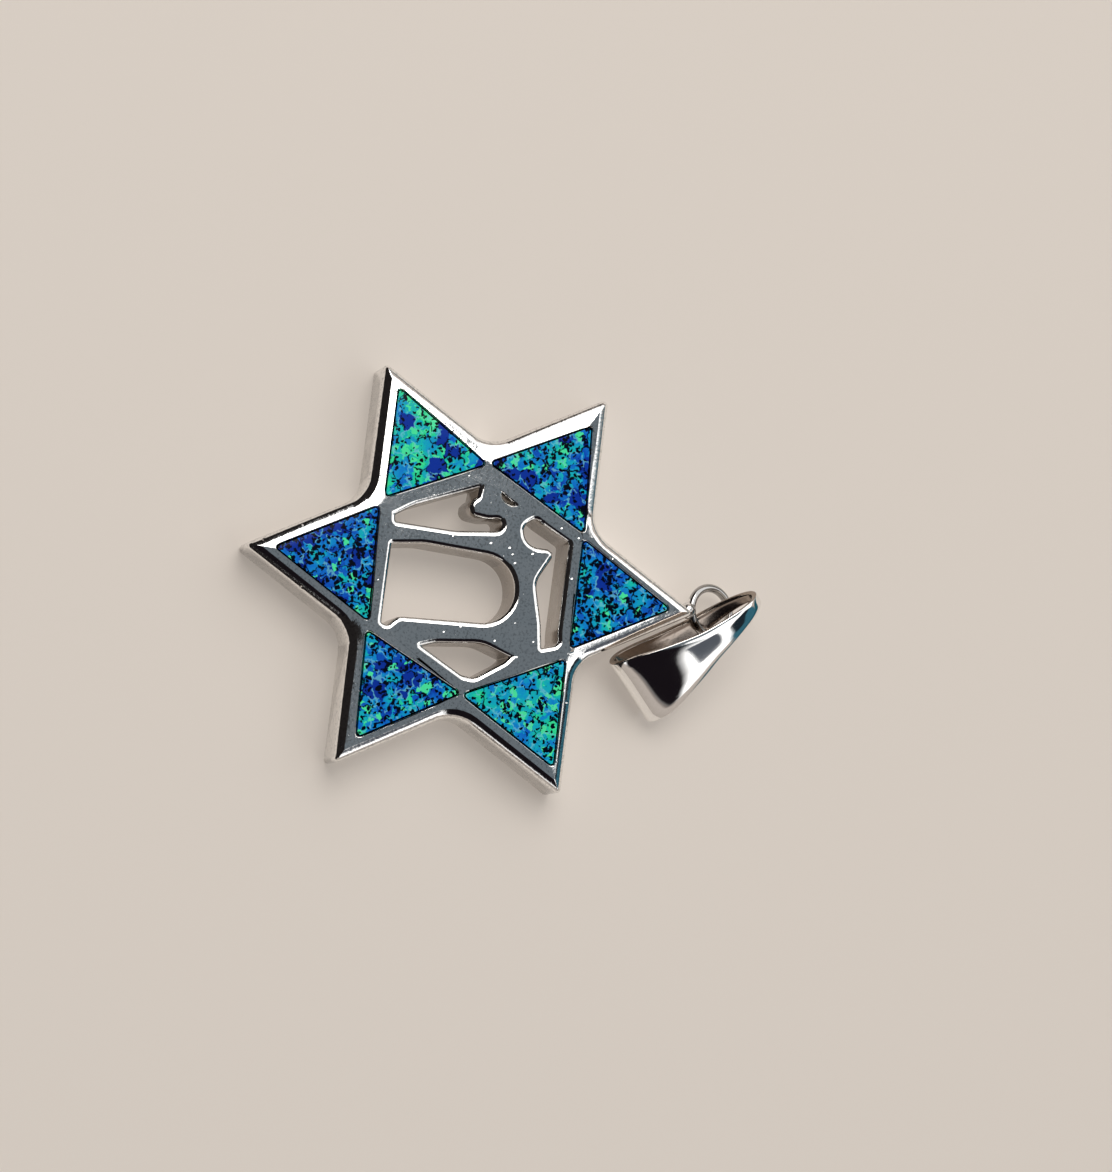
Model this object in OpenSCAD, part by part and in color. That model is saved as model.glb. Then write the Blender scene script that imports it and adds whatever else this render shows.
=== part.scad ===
// Silver star of David pendant, lying on its back with its face up.
// Six inlaid stones fill the points, the hexagon in the middle is pierced, and a leaf-shaped
// bail hangs loose in a ring soldered to the top point. Z points out of the face and Y to the
// top point. The origin is on the surface under the middle of the pendant. Millimetres.

/* [Star] */
// Centre of the star to the sharp tip of a point
star_r = 11; // [9:0.5:15]
// Thickness of the star
star_t = 2.4; // [1.8:0.1:3.2]
// Radius that rounds each tip
tip_round = 0.2; // [0.1:0.05:0.4]
// Radius that fills the corner between two points
corner_round = 1.6; // [0.4:0.1:2.2]
// Width of the rounded shoulder along the outer edge
shoulder_w = 0.42; // [0.2:0.02:0.5]
// Height of the rounded shoulder
shoulder_h = 0.4; // [0.2:0.05:0.6]

/* [Pierced work] */
// Width of the rounded rim at the face of each opening
rim_w = 0.22; // [0.1:0.01:0.22]
// Height of the rounded rim
rim_h = 0.16; // [0.1:0.02:0.3]
// Width of the rim of the smallest opening
small_rim_w = 0.09; // [0.04:0.01:0.1]

/* [Stones] */
// Thickness of an inlaid stone
stone_t = 1; // [0.6:0.1:1.2]
// Radius of a stone's corners
stone_round = 0.1; // [0.05:0.05:0.3]
// Gap between a stone's edge and its cell
stone_gap = 0.08; // [0.04:0.01:0.09]
// Bed of cement under a stone
bed_gap = 0.03; // [0.02:0.01:0.1]
// Depth of a stone's top below the face
stone_drop = 0.03; // [0.01:0.01:0.1]

/* [Soldered ring] */
// Radius of the ring, to the middle of its wire
ring_r = 1.13; // [1.05:0.01:1.3]
// Diameter of the wire
ring_wire = 0.4; // [0.3:0.02:0.44]
// Distance of the ring's centre beyond the tip
ring_reach = 1; // [0.9:0.02:1.1]
// Sideways offset of the ring's centre
ring_side = -0.34; // [-0.4:0.02:-0.2]
// Height of the ring's centre above the back
ring_z = 1.14; // [1.04:0.02:1.24]
// Angle by which the ring's far side droops
ring_droop = 20; // [16:0.5:24]
// Angle by which the ring leans sideways
ring_lean = 6; // [3:1:9]
// Radius of the solder at the tip
solder_r = 0.4; // [0.3:0.02:0.5]

/* [Bail] */
// Length of the bail from its fold to its narrow end
bail_len = 7.75; // [7.2:0.05:8.2]
// Height of the bail's loop
bail_loop = 2.66; // [2.5:0.02:2.9]
// Width of the bail at the fold
bail_w = 3.7; // [3.4:0.1:4]
// Thickness of the sheet
sheet_t = 0.26; // [0.2:0.02:0.3]
// Roundness of the loop's side view, where 2 is an ellipse
loop_power = 2.2; // [2:0.05:2.4]
// Turn of the bail on the surface, from +X
bail_turn = 134.5; // [132:0.5:137]
// Rise of the bail towards its narrow end
bail_rise = 7.5; // [6:0.5:9]
// Roll of the bail about its length
bail_roll = 22.5; // [20:0.5:25]
// Place of the fold along X
bail_x = 4.1; // [4:0.02:4.4]
// Place of the fold beyond the star's centre along Y, short of the tip
bail_short = 2.6; // [2.4:0.02:2.7]

/* [Hidden] */

// Most that an arc stands out from its chords
sag = 0.006;
// Steps in a rounded edge
edge_steps = 3;
// Overshoot of a cut
cut = 0.1;
// Least radius that an arc shrinks to
least_r = 0.04;
// Points round the bail's loop
loop_points = 56;
// Share of an edge between the places where the bail's height is read
edge_share = 0.1;
// Gap under the bail's lowest edge
floor_gap = 0.01;

hex_apothem = star_r / 2;
hex_r = star_r / sqrt(3);
cell_depth = stone_t + bed_gap + stone_drop;

// Distance from the star's centre to the middle of the pendant's length
middle_y = (bail_len * sin(bail_turn) - bail_short + tip_round) / 2;

// Shares are in hundredths of the size that they follow.
percent = 1 / 100;

// One stone for each point of the star, drawn with its point along +Y.
// Columns: direction of the point, then x and y of the apex, the left and the right corner of
// the base, in hundredths of star_r.
stones = [
    [90, 0, 87.3, -23.6, 46.2, 22.8, 46.2],
    [150, 1, 84.5, -24.1, 44.4, 25.8, 46.3],
    [210, 1, 86.8, -22, 46.7, 23.6, 43.6],
    [270, 0.6, 86.4, -24.2, 43.3, 24.1, 45.2],
    [330, -0.9, 84.5, -24.5, 42.8, 22.6, 46.6],
    [30, -1.5, 86.5, -23.7, 47, 23.2, 44]
];

// Corners of the pierced openings at the face, counter-clockwise.
// Columns: x, y and corner radius, in hundredths of hex_apothem.
arch_opening = [
    [51.5, -78.5, 5.5], [54.5, -68, 6.5], [45, -59.5, 6.5], [38, 45.5, 32], [-25.5, 37, 32],
    [-27.5, -47, 50], [-22.5, -78, 5]
];
foot_opening = [
    [-34.5, -77, 5.5], [-34.5, -20.5, 50], [-40.5, 24, 10], [-59.5, 21.5, 8], [-56.5, 6, 11],
    [-57.5, -6.5, 3.8], [-63, -8, 3.8], [-67.5, -2, 5.5], [-84.5, -0.3, 3],
    [-57.5, -61.5, 36], [-46, -78.5, 2]
];
bend_opening = [
    [-65, 48.5, 10], [-53.5, 34, 11], [-31, 37.5, 17.5], [-31, 63.5, 1], [-6, 50.5, 22],
    [30.5, 60, 36], [55, 63.5, 3.5], [48, 85, 9], [34, 83, 36], [-44.5, 83.5, 7.5],
    [-47.5, 80, 2], [-59, 56.5, 14]
];
leaf_opening = [
    [62.8, -47.2, 3.5], [86.8, -1, 12], [88, 12, 10], [69.5, 38, 14], [59.5, 46.5, 2.5],
    [49.5, 15, 36], [55, -26, 12]
];
sliver_opening = [
    [-81, 12.5, 2], [-70, 15, 9], [-65.5, 25, 6], [-68.5, 33, 1.5], [-75, 21, 14]
];

// Half-widths of the bail along its length, fold to narrow end.
// Columns: share of bail_len, share of bail_w, corner radius as a share of bail_len.
front_leaf = [[0, 50, 1], [12, 50, 8], [55, 23.5, 60], [100, 7, 1]];
back_leaf = [[0, 50, 1], [5, 49, 8], [36, 27, 60], [58, 16, 30], [100, 7, 1]];

// Sets a piece, drawn from the star's centre, over the origin.
module centred() {
    translate([0, -middle_y, 0]) children();
}

function unit(v) = v / norm(v);
function cross_z(u, v) = u.x * v.y - u.y * v.x;

// Rows of x, y and r scaled by one share for the places and another for the radii.
function scaled_rows(rows, xs, ys, rs) = [for (q = rows) [q[0] * xs, q[1] * ys, q[2] * rs]];

// Points of the arc at corner p, between its neighbours a and b, of an outline inset by d.
function corner_arc(a, p, b, r, d) =
    let (
        u = unit(a - p),
        w = unit(b - p),
        side = cross_z(p - a, b - p) >= 0 ? 1 : -1,
        half = acos(max(-1, min(1, u * w))) / 2,
        toward = unit(u + w),
        moved = p + side * toward * d / sin(half),
        arc_r = max(r - side * d, least_r),
        centre = moved + toward * arc_r / sin(half),
        turn = 180 - 2 * half,
        steps = max(2, round(turn / (2 * acos(1 - sag / max(r, least_r))))),
        from = moved + u * arc_r / tan(half) - centre,
        start = atan2(from.y, from.x)
    )
    [for (i = [0:steps]) centre + arc_r * [cos(start + side * turn * i / steps),
                                            sin(start + side * turn * i / steps)]];

// Counter-clockwise outline with a rounded corner at each row, inset by d.
function outline(rows, d = 0) =
    let (n = len(rows), at = [for (q = rows) [q[0], q[1]]])
    [for (i = [0:n - 1]) each corner_arc(at[(i + n - 1) % n], at[i], at[(i + 1) % n], rows[i][2], d)];

// Solid through outlines with equal numbers of points, listed upwards with their heights.
module loft(heights, outlines) {
    n = len(outlines[0]);
    top = len(outlines) - 1;
    points = [for (k = [0:top]) each [for (q = outlines[k]) [q.x, q.y, heights[k]]]];
    sides = [for (k = [0:top - 1]) each [for (i = [0:n - 1]) each
        let (j = (i + 1) % n)
        [[k * n + i, (k + 1) * n + j, k * n + j], [k * n + i, (k + 1) * n + i, (k + 1) * n + j]]]];
    floor_face = [for (i = [0:n - 1]) i];
    roof_face = [for (i = [n - 1:-1:0]) top * n + i];
    polyhedron(points, concat(sides, [floor_face], [roof_face]), convexity = 10);
}

// The star's outline: a tip and the corner after it, six times.
star_rows = [for (i = [0:5]) each [
    [star_r * cos(30 + 60 * i), star_r * sin(30 + 60 * i), tip_round],
    [hex_r * cos(60 + 60 * i), hex_r * sin(60 + 60 * i), corner_round]]];

// Body of the star, with its rounded shoulder.
module star_plate() {
    rounds = [for (k = [0:edge_steps]) 90 * k / edge_steps];
    wall_top = star_t - shoulder_h;
    around = outline(star_rows, -cut);
    intersection() {
        linear_extrude(star_t) polygon(outline(star_rows));
        loft(concat([-cut, wall_top - cut], [for (f = rounds) wall_top + shoulder_h * sin(f)],
                    [star_t + cut]),
             concat([around, around], [for (f = rounds) outline(star_rows, shoulder_w * (1 - cos(f)))],
                    [outline(star_rows, shoulder_w)]));
    }
}

// Opening cut through the star, flared to a rounded rim at the face.
module pierced(rows, rim) {
    face_rows = scaled_rows(rows, hex_apothem * percent, hex_apothem * percent, hex_apothem * percent);
    rounds = [for (k = [0:edge_steps]) 90 * k / edge_steps];
    translate([0, 0, -cut]) linear_extrude(star_t + 2 * cut) polygon(outline(face_rows, rim));
    loft(concat([for (f = rounds) star_t - rim_h + rim_h * sin(f)], [star_t + cut]),
         concat([for (f = rounds) outline(face_rows, rim * cos(f))], [outline(face_rows)]));
}

// Corners of a stone, with its point along +Y.
function stone_rows(q) = [
    [q[1] * star_r * percent, q[2] * star_r * percent, stone_round],
    [q[3] * star_r * percent, q[4] * star_r * percent, stone_round],
    [q[5] * star_r * percent, q[6] * star_r * percent, stone_round]
];

// Cell that a stone is set in.
module stone_cell(q) {
    rotate([0, 0, q[0] - 90]) translate([0, 0, star_t - cell_depth])
        linear_extrude(cell_depth + cut) polygon(outline(stone_rows(q), -stone_gap));
}

module stone(q) {
    rotate([0, 0, q[0] - 90]) translate([0, 0, star_t - cell_depth + bed_gap])
        linear_extrude(stone_t) polygon(outline(stone_rows(q)));
}

// Ring that droops from the tip, with the solder between its wire and the tip.
module soldered_ring() {
    wire_y = star_r + ring_reach - ring_r * cos(ring_droop);
    tip_y = star_r - 2 * tip_round;
    translate([ring_side, star_r + ring_reach, ring_z]) rotate([-ring_droop, -ring_lean, 0])
        rotate_extrude($fn = 48) translate([ring_r, 0]) circle(d = ring_wire, $fn = 24);
    translate([ring_side / 2, (wire_y + tip_y) / 2, ring_z + ring_r * sin(ring_droop)])
        sphere(r = solder_r, $fn = 32);
}

module star_frame() {
    color("silver") centred() union() {
        difference() {
            star_plate();
            for (q = stones) stone_cell(q);
            for (rows = [arch_opening, foot_opening, bend_opening, leaf_opening]) pierced(rows, rim_w);
            pierced(sliver_opening, small_rim_w);
        }
        soldered_ring();
    }
}

// Side view of the bail's loop, inset by d: a rounded oval from the fold to the narrow end.
function sign_power(v, e) = sign(v) * pow(abs(v), e);
function loop_outline(d) = [for (i = [0:loop_points - 1])
    let (f = 360 * i / loop_points)
    [bail_len / 2 + (bail_len / 2 - d) * sign_power(cos(f), 2 / loop_power),
     (bail_loop / 2 - d) * sign_power(sin(f), 2 / loop_power)]];

// Plan of one leg, from its table of half-widths.
function leaf_outline(leaf) =
    let (
        right = [for (q = leaf) [q[0] * bail_len * percent, -q[1] * bail_w * percent,
                                 q[2] * bail_len * percent]],
        left = [for (i = [len(leaf) - 1:-1:0]) [right[i][0], -right[i][1], right[i][2]]]
    )
    outline(concat(right, left));

// Sheet bent into the loop, before its legs are cut to shape.
module bent_sheet() {
    rotate([90, 0, 0]) translate([0, 0, -bail_w / 2]) linear_extrude(bail_w) difference() {
        polygon(loop_outline(0));
        polygon(loop_outline(sheet_t));
    }
}

// Height of a point of the bail once it is rolled and raised.
function turned_z(p) =
    let (rolled_z = p.y * sin(bail_roll) + p.z * cos(bail_roll))
    p.x * sin(bail_rise) + rolled_z * cos(bail_rise);

// Height of the loop over its middle plane, x along the bail.
function loop_height(x) =
    bail_loop / 2 * pow(max(0, 1 - pow(abs(2 * x / bail_len - 1), loop_power)), 1 / loop_power);
back_edge = leaf_outline(back_leaf);
bail_low = min([for (i = [0:len(back_edge) - 1], t = [0:edge_share:1])
    let (q = (1 - t) * back_edge[i] + t * back_edge[(i + 1) % len(back_edge)])
    turned_z([q.x, q.y, -loop_height(q.x)])]);

module bail() {
    color("gainsboro") centred()
        translate([bail_x, star_r - bail_short, floor_gap - bail_low])
        rotate([bail_roll, -bail_rise, bail_turn])
        intersection() {
            bent_sheet();
            union() {
                linear_extrude(bail_loop) polygon(leaf_outline(front_leaf));
                translate([0, 0, -bail_loop]) linear_extrude(bail_loop) polygon(leaf_outline(back_leaf));
            }
        }
}

module opal_top() { color("royalblue") centred() stone(stones[0]); }
module opal_upper_left() { color("steelblue") centred() stone(stones[1]); }
module opal_lower_left() { color("mediumaquamarine") centred() stone(stones[2]); }
module opal_bottom() { color("mediumblue") centred() stone(stones[3]); }
module opal_lower_right() { color("darkblue") centred() stone(stones[4]); }
module opal_upper_right() { color("lightseagreen") centred() stone(stones[5]); }

star_frame();
opal_top();
opal_upper_left();
opal_lower_left();
opal_bottom();
opal_lower_right();
opal_upper_right();
bail();
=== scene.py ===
from math import copysign, cos, pi, radians, sin

import bpy
from mathutils import Matrix, Vector


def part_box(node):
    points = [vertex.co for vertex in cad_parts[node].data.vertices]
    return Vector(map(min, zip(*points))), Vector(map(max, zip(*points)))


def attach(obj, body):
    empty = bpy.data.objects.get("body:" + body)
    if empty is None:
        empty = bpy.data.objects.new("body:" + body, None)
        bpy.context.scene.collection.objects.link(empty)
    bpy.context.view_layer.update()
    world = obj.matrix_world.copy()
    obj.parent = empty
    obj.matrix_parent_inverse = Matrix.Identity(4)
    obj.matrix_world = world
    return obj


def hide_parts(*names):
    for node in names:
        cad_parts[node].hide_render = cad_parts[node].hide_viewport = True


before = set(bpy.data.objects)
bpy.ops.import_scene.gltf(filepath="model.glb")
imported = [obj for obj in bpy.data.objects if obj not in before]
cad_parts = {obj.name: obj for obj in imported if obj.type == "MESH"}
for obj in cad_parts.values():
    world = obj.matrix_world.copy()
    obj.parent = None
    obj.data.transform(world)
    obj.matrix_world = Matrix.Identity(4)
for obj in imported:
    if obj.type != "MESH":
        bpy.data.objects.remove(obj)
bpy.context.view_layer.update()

# Star. One piece of cast silver, pierced in the middle and polished to a slightly domed face that
# mirrors the dark above it. Its cells are lined with dark cement, and the jump ring is soldered to
# its top point, so the ring belongs to this piece.
mm = 0.001
star_r = 11 * mm
tip_round = 0.2 * mm
stone_drop = 0.03 * mm
bed_gap = 0.03 * mm
star_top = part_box("opal_top")[1].z + stone_drop
cell_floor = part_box("opal_top")[0].z - bed_gap
wall_top = star_top - 0.4 * mm
star_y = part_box("star_frame")[0].y + star_r - tip_round
side_angles = [radians(30 + 60 * k) for k in range(6)]
# Width, depth and number of steps of the dome along the star's edge
dome_w = 1.2 * mm
dome_drop = 0.11 * mm
dome_steps = 5
corner_fill = 0.8
smooth_angle = 38


def node(tree, kind, inputs, **settings):
    """Adds a node. An input is a value, or the output of another node."""
    new = tree.nodes.new("ShaderNode" + kind)
    for name, value in settings.items():
        setattr(new, name, value)
    for name, value in inputs.items():
        if isinstance(value, bpy.types.NodeSocket):
            tree.links.new(value, new.inputs[name])
        else:
            new.inputs[name].default_value = value
    return new


def linear(red, green, blue):
    """A colour in 0 to 255 as the linear values that a shader takes."""
    shares = [c / 255 for c in (red, green, blue)]
    return [c / 12.92 if c < 0.04045 else ((c + 0.055) / 1.055) ** 2.4 for c in shares] + [1]


def ramp(tree, factor, stops):
    """Colour ramp with a stop for each place and linear colour."""
    new = node(tree, "ValToRGB", {"Fac": factor})
    elements = new.color_ramp.elements
    while len(elements) < len(stops):
        elements.new(0.5)
    for element, (place, colour) in zip(elements, stops):
        element.position = place
        element.color = colour
    return new.outputs["Color"]


def new_material(name):
    """New material with its node tree and its shader."""
    made = bpy.data.materials.new(name)
    made.use_nodes = True
    return made, made.node_tree, made.node_tree.nodes["Principled BSDF"]


def polished_silver(name, tone, roughness, grain, ripple, pits, speckle):
    """Silver with a fine grain and faint ripples from polishing, and a few pits, with depths in mm.
    The speckle is a share of darker tone, and a noise's scale is its number of features in a metre."""
    made, tree, shader = new_material(name)
    place = node(tree, "TexCoord", {}).outputs["Object"]
    fine = node(tree, "TexNoise", {"Vector": place, "Scale": 16000, "Detail": 3, "Roughness": 0.6})
    slow = node(tree, "TexNoise", {"Vector": place, "Scale": 900, "Detail": 2})
    waves = node(tree, "TexNoise", {"Vector": place, "Scale": 3000, "Detail": 2, "Roughness": 0.7})
    cells = node(tree, "TexVoronoi", {"Vector": place, "Scale": 1500})
    pit = node(tree, "MapRange", {"Value": cells.outputs["Distance"], "From Min": 0.05, "From Max": 0.14})
    relief = node(tree, "Math", {0: fine.outputs["Fac"], 1: grain}, operation="MULTIPLY")
    relief = node(tree, "Math", {0: waves.outputs["Fac"], 1: ripple, 2: relief.outputs["Value"]},
                  operation="MULTIPLY_ADD")
    depth = node(tree, "Math", {0: pit.outputs["Result"], 1: pits, 2: relief.outputs["Value"]},
                 operation="MULTIPLY_ADD")
    bump = node(tree, "Bump", {"Height": depth.outputs["Value"], "Distance": 1 * mm, "Strength": 1})
    polish = node(tree, "MapRange", {"Value": slow.outputs["Fac"], "From Min": 0.3, "From Max": 0.7,
                                     "To Min": roughness * 0.8, "To Max": roughness * 1.3})
    tree.links.new(polish.outputs["Result"], shader.inputs["Roughness"])
    tree.links.new(bump.outputs["Normal"], shader.inputs["Normal"])
    stains = node(tree, "TexNoise", {"Vector": place, "Scale": 8000, "Detail": 2, "Roughness": 0.7})
    dull_tone = [c * (1 - speckle) for c in tone]
    colour = ramp(tree, stains.outputs["Fac"], [(0.34, linear(*dull_tone)), (0.5, linear(*tone))])
    tree.links.new(colour, shader.inputs["Base Color"])
    shader.inputs["Metallic"].default_value = 1
    return made


def dark_cement(name):
    """Black cement that sets the stones, dull and grainy."""
    made, tree, shader = new_material(name)
    place = node(tree, "TexCoord", {}).outputs["Object"]
    grains = node(tree, "TexNoise", {"Vector": place, "Scale": 9000, "Detail": 2})
    colour = ramp(tree, grains.outputs["Fac"], [(0.3, linear(6, 7, 10)), (0.7, linear(22, 24, 30))])
    tree.links.new(colour, shader.inputs["Base Color"])
    shader.inputs["Roughness"].default_value = 0.75
    return made


def merged_copy(cad_name, name):
    """Copy of a CAD node's mesh with its loose triangles joined up."""
    copy = bpy.data.objects.new(name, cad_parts[cad_name].data.copy())
    bpy.context.scene.collection.objects.link(copy)
    copy.data.materials.clear()
    bpy.ops.object.select_all(action="DESELECT")
    copy.select_set(True)
    bpy.context.view_layer.objects.active = copy
    bpy.ops.object.mode_set(mode="EDIT")
    bpy.ops.mesh.select_all(action="SELECT")
    bpy.ops.mesh.remove_doubles(threshold=1e-6)
    bpy.ops.object.mode_set(mode="OBJECT")
    return copy


def select_parts(kind, parts, wanted):
    """Selects only the wanted ones of the active piece's edges or faces, and enters edit mode."""
    bpy.ops.object.mode_set(mode="EDIT")
    bpy.ops.mesh.select_mode(type=kind)
    bpy.ops.mesh.select_all(action="DESELECT")
    bpy.ops.object.mode_set(mode="OBJECT")
    for part in parts:
        part.select = wanted(part)
    bpy.ops.object.mode_set(mode="EDIT")


def select_faces(piece, wanted):
    """Leaves the active piece in edit mode with only the wanted faces selected."""
    select_parts("FACE", piece.data.polygons, wanted)


def select_edges(piece, wanted):
    """Leaves the active piece in edit mode with only the wanted edges selected."""
    select_parts("EDGE", piece.data.edges, wanted)


def inset_from_edge(place):
    """How far a place on the face lies inside the star, which is two triangles laid crosswise. It
    grows faster where they overlap, so that the hexagon stays flat up to its corners."""
    spans = [star_r / 2 - place.x * cos(a) - (place.y - star_y) * sin(a) for a in side_angles]
    insets = min(spans[0::2]), min(spans[1::2])
    return max(insets) + corner_fill * max(0, min(insets))


def dome_face(piece, top):
    """Marks a flat face's border sharp, cuts it along lines that follow the star's edge, and lowers
    it towards that edge."""
    select_faces(piece, lambda face: face.normal.z > 0.99 and face.center.z > top - 0.01 * mm)
    bpy.ops.mesh.hide(unselected=True)
    for angle in side_angles:
        side = Vector((cos(angle), sin(angle), 0))
        for step in range(1, dome_steps + 1):
            line = Vector((0, star_y, 0)) + side * (star_r / 2 - dome_w * step / dome_steps)
            bpy.ops.mesh.select_all(action="SELECT")
            bpy.ops.mesh.bisect(plane_co=line, plane_no=side, threshold=1e-7)
    bpy.ops.mesh.select_all(action="SELECT")
    bpy.ops.mesh.reveal(select=False)
    bpy.ops.mesh.region_to_loop()
    bpy.ops.mesh.mark_sharp()
    bpy.ops.object.mode_set(mode="OBJECT")
    for vertex in piece.data.vertices:
        share = (vertex.co.z - wall_top) / (star_top - wall_top)
        reach = 1 - max(0, inset_from_edge(vertex.co)) / dome_w
        if share > 0 and reach > 0:
            vertex.co.z -= dome_drop * min(1, share) * reach ** 2


def smooth_by_area(piece, angle):
    """Smooth shading up to an angle, led by the larger faces."""
    bpy.ops.object.select_all(action="DESELECT")
    piece.select_set(True)
    bpy.context.view_layer.objects.active = piece
    bpy.ops.object.shade_smooth_by_angle(angle=radians(angle))
    modifier = piece.modifiers.new("Normals", "WEIGHTED_NORMAL")
    modifier.keep_sharp = True
    bpy.ops.object.modifier_apply(modifier=modifier.name)


stone_nodes = [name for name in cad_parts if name.startswith("opal_")]
star = merged_copy("star_frame", "star")
dome_face(star, star_top)
bright_silver = (246, 245, 243)
star.data.materials.append(polished_silver("star_silver", bright_silver, 0.07, 0.001, 0.004, 0.005, 0.16))
star.data.materials.append(dark_cement("stone_cement"))
# The openings' walls are rougher cast silver, and their darker tone is painted shade for the shadowed floor
# that they mirror.
star.data.materials.append(polished_silver("cast_walls_painted_shade", (186, 180, 174), 0.24, 0.003, 0, 0.004, 0.06))
# The ring's darker tone is painted shade for the dark surroundings that the wire mirrors.
star.data.materials.append(polished_silver("ring_wire", (176, 174, 172), 0.08, 0.0006, 0, 0, 0.05))
on_face, on_cement, on_wall, on_ring = range(4)
joint_reach = 0.12 * mm
cement_drop = 0.04 * mm
cell_edge = 0.05 * mm
pierced_reach = 0.53 * star_r
ring_from = star_y + star_r - tip_round
# How far up a normal points, at least on the flat face and at most on a wall
flat_face = 0.975
steep_wall = 0.3


def beside_a_stone(place):
    """Whether a place lies across the joint from one of the stones."""
    for name in stone_nodes:
        found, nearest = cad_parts[name].closest_point_on_mesh(place)[:2]
        if found and (nearest - place).length < joint_reach:
            return True
    return False


middle = Vector((0, star_y, 0))
# Edges of the cement, and edges of the polished face: where they meet, a cell's edge is rounded.
lined_edges, face_edges = set(), set()
for face in star.data.polygons:
    in_a_cell = cell_floor - joint_reach < face.center.z < star_top - cement_drop
    if in_a_cell and beside_a_stone(face.center):
        face.material_index = on_cement
        lined_edges.update(face.edge_keys)
    elif abs(face.normal.z) < steep_wall and (face.center - middle).xy.length < pierced_reach:
        face.material_index = on_wall
    elif face.center.y > ring_from:
        face.material_index = on_ring
    elif face.normal.z > flat_face:
        face_edges.update(face.edge_keys)
select_edges(star, lambda edge: edge.key in lined_edges & face_edges)
bpy.ops.mesh.bevel(offset=cell_edge, segments=2, affect="EDGES", material=on_face)
bpy.ops.object.mode_set(mode="OBJECT")
smooth_by_area(star, smooth_angle)
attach(star, "root")
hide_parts("star_frame")

# Opals. Six slabs of crushed opal in clear resin, ground flush with the silver: flakes of blue,
# cyan and green with black spots between them. Each is cemented into the cell in its point, and
# each has its own mix.
opal_palette = [
    (0.00, linear(12, 42, 142)), (0.14, linear(16, 62, 178)), (0.28, linear(18, 96, 204)),
    (0.42, linear(20, 130, 220)), (0.54, linear(20, 160, 216)), (0.64, linear(22, 184, 204)),
    (0.75, linear(28, 206, 184)), (0.87, linear(48, 232, 156)), (1.00, linear(104, 255, 186)),
]
# Columns: node, slot, middle of the mix from blue to green, spread of its colours, shares of deep
# blue and of bright green flakes, and radius of the black dots in cells.
opal_mixes = [
    ("opal_top", "opal_blue", 0.42, 0.34, 0.04, 0.05, 0.43),
    ("opal_upper_left", "opal_teal", 0.43, 0.60, 0.14, 0.07, 0.38),
    ("opal_lower_left", "opal_green", 0.67, 0.46, 0.16, 0.10, 0.33),
    ("opal_bottom", "opal_blue", 0.35, 0.52, 0.14, 0.07, 0.42),
    ("opal_lower_right", "opal_blue", 0.41, 0.60, 0.14, 0.12, 0.38),
    ("opal_upper_right", "opal_teal", 0.63, 0.30, 0, 0.14, 0.35),
]
# Numbers of flakes, chips and specks in a metre of stone, and how far their outlines are pushed
flakes, chips, specks = 1650, 3300, 4300
ragged = 0.42 * mm
# Places of the deep blue and the bright green flakes in the palette
deep_blue, bright_green = 0.08, 0.93
vein_colour = linear(120, 215, 230)
dot_colour = linear(2, 8, 26)


def math_node(tree, operation, *values):
    """Result of a calculation with values or sockets."""
    return node(tree, "Math", dict(enumerate(values)), operation=operation).outputs["Value"]


def mix(tree, factor, colour, other):
    """Colour that goes to the other one with the factor."""
    return node(tree, "Mix", {"Factor": factor, 6: colour, 7: other}, data_type="RGBA").outputs[2]


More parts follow.
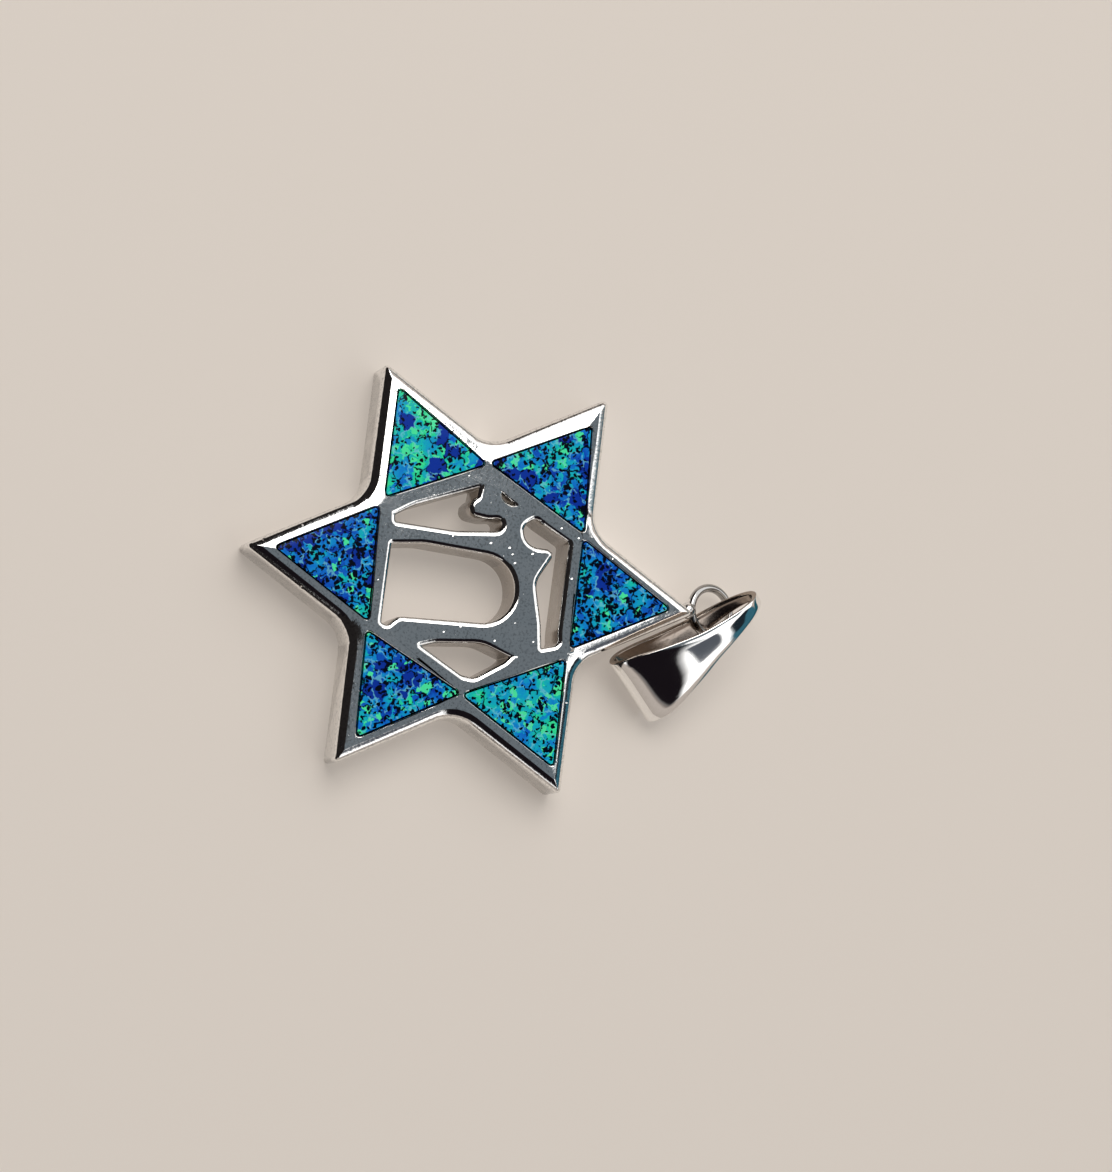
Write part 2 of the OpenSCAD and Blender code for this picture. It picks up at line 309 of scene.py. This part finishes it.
def crushed_opal(name, middle, spread, blue, green, dots, seed):
    """Large flakes and small chips with round black dots, and dark or pale veins along borders."""
    made, tree, shader = new_material(name)
    place = node(tree, "TexCoord", {}).outputs["Object"]
    place = node(tree, "Mapping", {"Vector": place, "Location": (seed * 7.3 * mm, seed * 3.1 * mm, 0)})
    place = place.outputs["Vector"]
    push = node(tree, "TexNoise", {"Vector": place, "Scale": 3400, "Detail": 2}).outputs["Color"]
    push = node(tree, "VectorMath", {0: push, 1: (0.5, 0.5, 0.5)}, operation="SUBTRACT").outputs["Vector"]
    place = node(tree, "VectorMath", {0: push, 1: (ragged,) * 3, 2: place},
                 operation="MULTIPLY_ADD").outputs["Vector"]

    def cells(scale):
        colour = node(tree, "TexVoronoi", {"Vector": place, "Scale": scale}).outputs["Color"]
        return node(tree, "SeparateColor", {"Color": colour}).outputs

    def noise(scale):
        return node(tree, "TexNoise", {"Vector": place, "Scale": scale, "Detail": 1}).outputs["Fac"]

    large, small = cells(flakes), cells(chips)
    crowd = noise(1700)
    is_small = math_node(tree, "GREATER_THAN", small["Green"], 0.5)
    pick = node(tree, "Mix", {"Factor": is_small, 2: large["Red"], 3: small["Red"]}).outputs[0]
    shade = math_node(tree, "MULTIPLY_ADD", pick, spread, middle - 0.5 * spread - 0.6)
    shade = math_node(tree, "ADD", shade, noise(900))
    shade = math_node(tree, "MULTIPLY_ADD", noise(9000), 0.2, shade)
    is_green = math_node(tree, "LESS_THAN", small["Blue"], green)
    shade = node(tree, "Mix", {"Factor": is_green, 2: shade, 3: bright_green}).outputs[0]
    is_blue = math_node(tree, "LESS_THAN", large["Blue"], blue)
    shade = node(tree, "Mix", {"Factor": is_blue, 2: shade, 3: deep_blue}).outputs[0]
    colour = ramp(tree, shade, opal_palette)
    border = node(tree, "TexVoronoi", {"Vector": place, "Scale": flakes}, feature="DISTANCE_TO_EDGE")
    near_border = node(tree, "MapRange", {"Value": border.outputs["Distance"], "From Min": 0.07,
                                          "From Max": 0.03}).outputs["Result"]
    pale = math_node(tree, "MULTIPLY", near_border, math_node(tree, "LESS_THAN", crowd, 0.47))
    colour = mix(tree, math_node(tree, "MULTIPLY", pale, 0.6), colour, vein_colour)
    dark = math_node(tree, "MULTIPLY", near_border, math_node(tree, "GREATER_THAN", crowd, 0.53))
    spots = node(tree, "TexVoronoi", {"Vector": place, "Scale": specks}).outputs["Distance"]
    radius = math_node(tree, "MULTIPLY_ADD", crowd, 0.5, dots - 0.25)
    dark = math_node(tree, "MAXIMUM", dark, math_node(tree, "LESS_THAN", spots, radius))
    colour = mix(tree, dark, colour, dot_colour)
    tree.links.new(colour, shader.inputs["Base Color"])
    shader.inputs["Roughness"].default_value = 0.15
    shader.inputs["Specular IOR Level"].default_value = 0.08
    return made


for seed, (cad_name, slot, *mixture) in enumerate(opal_mixes):
    stone = merged_copy(cad_name, cad_name + "_stone")
    dome_face(stone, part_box(cad_name)[1].z)
    stone.data.materials.append(crushed_opal(cad_name + "_mix", *mixture, seed))
    smooth_by_area(stone, smooth_angle)
    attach(stone, "root")
    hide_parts(cad_name)

# Bail. One strip of sheet silver bent into a flat loop, widest at its fold and narrow where the
# ring passes through it. Its legs bow a little across their width, its edges are rounded over, and
# its inside and its cut edges are duller than the polished outside, with a darker tone that is painted
# shade.
bail_len = 7.75 * mm
bail_loop = 2.66 * mm
bail_w = 3.7 * mm
sheet_t = 0.26 * mm
loop_power = 2.2
loop_points = 168
rows_across = 8
bow = 0.06
edge_round = 0.06 * mm
width_easing = 0.06
# Turns that lay the bail over to the side, about X, Y and Z in degrees
bail_turns = 22.5, -7.5, 134.5
# Half-widths along the bail, as shares of its length and of its width.
front_widths = [(0, 0.5), (0.12, 0.5), (0.55, 0.235), (1, 0.07)]
back_widths = [(0, 0.5), (0.05, 0.49), (0.36, 0.27), (0.58, 0.16), (1, 0.07)]


def half_width(table, share):
    """Half-width of a leg, read along its table of widths with the corners eased."""
    samples = [min(1, max(0, share + width_easing * k / 3)) for k in range(-3, 4)]
    total = 0
    for sample in samples:
        for (start, w_start), (end, w_end) in zip(table, table[1:]):
            if sample <= end:
                total += w_start + (w_end - w_start) * (sample - start) / (end - start)
                break
    return bail_w * total / len(samples)


def runs_across(edge):
    """Whether an edge of the bail's tube runs from one of its open ends to the other."""
    start, end = [bail.data.vertices[k].co.y for k in edge.vertices]
    return abs(start - end) > 1


bpy.ops.object.select_all(action="DESELECT")
bpy.ops.mesh.primitive_cylinder_add(vertices=loop_points, radius=1, depth=2, end_fill_type="NOTHING",
                                    rotation=(pi / 2, 0, 0))
bail = bpy.context.object
bail.name = "silver_bail"
bpy.ops.object.transform_apply(location=True, rotation=True, scale=True)
select_edges(bail, runs_across)
bpy.ops.mesh.subdivide(number_cuts=rows_across - 1)
bpy.ops.object.mode_set(mode="OBJECT")
for vertex in bail.data.vertices:
    across = vertex.co.y
    along, rise = [copysign(abs(v) ** (2 / loop_power), v) for v in (vertex.co.x, vertex.co.z)]
    share = (1 + along) / 2
    table = front_widths if rise > 0 else back_widths
    vertex.co = (bail_len * share, half_width(table, share) * across,
                 bail_loop / 2 * rise * (1 - bow * across ** 4))
bpy.ops.object.mode_set(mode="EDIT")
bpy.ops.mesh.select_all(action="SELECT")
bpy.ops.mesh.normals_make_consistent(inside=False)
bpy.ops.object.mode_set(mode="OBJECT")
bail.data.materials.append(polished_silver("bail_silver", bright_silver, 0.05, 0.0004, 0, 0.0006, 0.02))
# The inside and the cut edges are rougher silver, and their darker tone is painted shade for the shadowed
# floor that they mirror.
bail.data.materials.append(polished_silver("bail_inside_painted_shade", (164, 152, 142), 0.14, 0.0006, 0.002, 0.002, 0.1))
wall = bail.modifiers.new("Wall", "SOLIDIFY")
wall.thickness = sheet_t
wall.offset = -1
wall.material_offset = 1
wall.material_offset_rim = 1
bpy.ops.object.modifier_apply(modifier=wall.name)
rounding = bail.modifiers.new("Rounding", "BEVEL")
rounding.width = edge_round
rounding.segments = 3
rounding.limit_method = "ANGLE"
rounding.angle_limit = radians(60)
bpy.ops.object.modifier_apply(modifier=rounding.name)
bail.rotation_euler = [radians(turn) for turn in bail_turns]
bpy.ops.object.transform_apply(location=False, rotation=True, scale=False)
# The middle of its own box goes to the middle of the solid's.
low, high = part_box("bail")
corners = [Vector(map(pick, zip(*(v.co for v in bail.data.vertices)))) for pick in (min, max)]
bail.location = (low + high) / 2 - (corners[0] + corners[1]) / 2
bpy.ops.object.transform_apply(location=True, rotation=False, scale=False)
smooth_by_area(bail, 40)
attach(bail, "root")
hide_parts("bail")

# Floor. A plain, pale, warm sheet under the pendant, with a faint glow as of light passing through.
bpy.ops.mesh.primitive_plane_add(size=3, location=(0, 0, -0.01 * mm))
floor = bpy.context.object
floor.name = "floor"
paper, tree, shader = new_material("pale_floor")
shader.inputs["Base Color"].default_value = linear(182, 174, 166)
shader.inputs["Emission Color"].default_value = linear(255, 243, 231)
shader.inputs["Emission Strength"].default_value = 0.3
shader.inputs["Roughness"].default_value = 0.9
floor.data.materials.append(paper)

# Light. A dim ceiling and pale walls with a dark side, one round soft lamp above, and cards that the
# silver mirrors: a white one, two teal ones low down, a slate one on them, a black one and a grey one.
scene = bpy.context.scene
scene.world = bpy.data.worlds.new("studio")
scene.world.use_nodes = True
tree = scene.world.node_tree
look = node(tree, "TexCoord", {}).outputs["Generated"]


def direction(from_zenith, azimuth):
    """Unit vector at an angle from the zenith and an azimuth from +X to +Y, both in degrees."""
    level = sin(radians(from_zenith))
    return Vector((level * cos(radians(azimuth)), level * sin(radians(azimuth)), cos(radians(from_zenith))))


def card(middle, half_length, half_height):
    """Mask of a card in the room, with its half-sizes along the horizon and upwards in degrees."""
    across = Vector((0, 0, 1)).cross(middle).normalized()
    spans = []
    for axis, half in ((across, half_length), (middle.cross(across), half_height)):
        share = node(tree, "VectorMath", {0: look, 1: axis / sin(radians(half))}, operation="DOT_PRODUCT")
        spans.append(math_node(tree, "POWER", math_node(tree, "ABSOLUTE", share.outputs["Value"]), 4))
    total = math_node(tree, "ADD", *spans)
    inside = node(tree, "MapRange", {"Value": total, "From Min": 1.4, "From Max": 0.6}).outputs["Result"]
    facing = node(tree, "VectorMath", {0: look, 1: middle}, operation="DOT_PRODUCT").outputs["Value"]
    return math_node(tree, "MULTIPLY", inside, math_node(tree, "GREATER_THAN", facing, 0))


height = node(tree, "SeparateXYZ", {"Vector": look}).outputs["Z"]
room = ramp(tree, height, [(0.0, [0.42, 0.37, 0.33, 1]), (0.38, [0.5, 0.44, 0.4, 1]),
                           (0.46, [1.6, 1.6, 1.6, 1]), (0.74, [1.4, 1.4, 1.4, 1]),
                           (0.82, [0.135, 0.159, 0.18, 1])])
dark_from, dark_to = 192, 339.5
sides = [node(tree, "VectorMath", {0: look, 1: direction(90, azimuth)}, operation="DOT_PRODUCT")
         for azimuth in (dark_from + 90, dark_to - 90)]
within = math_node(tree, "MINIMUM", *[side.outputs["Value"] for side in sides])
dark_side = node(tree, "MapRange", {"Value": within, "From Min": -0.008, "From Max": 0.008})
room = mix(tree, dark_side.outputs["Result"], room, [0.015, 0.013, 0.013, 1])
# Columns: angle from the zenith, azimuth, half-length and half-height in degrees, and colour.
cards = [
    (35, 76, 12, 11, (1.5, 1.5, 1.5)),
    (72, 82, 17, 19, (0.035, 0.13, 0.18)),
    (86, 100, 55, 8, (0.015, 0.09, 0.12)),
    (55, 84, 13, 6, (0.012, 0.02, 0.028)),
    (44, 9, 23, 24, (0.008, 0.006, 0.008)),
    (47.5, 53, 6, 6, (0.09, 0.1, 0.12)),
]
for from_zenith, azimuth, half_length, half_height, colour in cards:
    mask = card(direction(from_zenith, azimuth), half_length, half_height)
    room = mix(tree, mask, room, [*colour, 1])
tree.links.new(room, tree.nodes["Background"].inputs["Color"])

lamp_reach = 0.35
lamp_spread = 0.36
lamp_way = Vector((-0.53, -0.03, 1)).normalized()
bpy.ops.object.light_add(type="AREA", location=lamp_way * lamp_reach)
lamp = bpy.context.object
lamp.rotation_euler = lamp_way.to_track_quat("Z", "Y").to_euler()
lamp.data.shape = "DISK"
lamp.data.size = 2 * lamp_reach * lamp_spread
lamp.data.energy = 0.67
lamp.data.color = (1, 0.98, 0.95)
lamp.visible_camera = False

# Camera. It looks down at the face from 16 degrees off the vertical, with the top point to the right.
camera_data = bpy.data.cameras.new("camera")
camera = bpy.data.objects.new("camera", camera_data)
scene.collection.objects.link(camera)
camera_place = Vector((24, -46.42, 194.15)) * mm
camera_target = Vector((-0.256, 2.415, 2.4)) * mm
picture_up = Vector((-0.98503, -0.14901, 0.08667))
forward = (camera_target - camera_place).normalized()
right = forward.cross(picture_up).normalized()
turn = Matrix((right, right.cross(forward), -forward)).transposed().to_4x4()
camera.matrix_world = Matrix.Translation(camera_place) @ turn
camera_data.sensor_width = 36
camera_data.lens = 130.2
camera_data.clip_start = 0.005
scene.camera = camera
scene.view_settings.view_transform = "Standard"
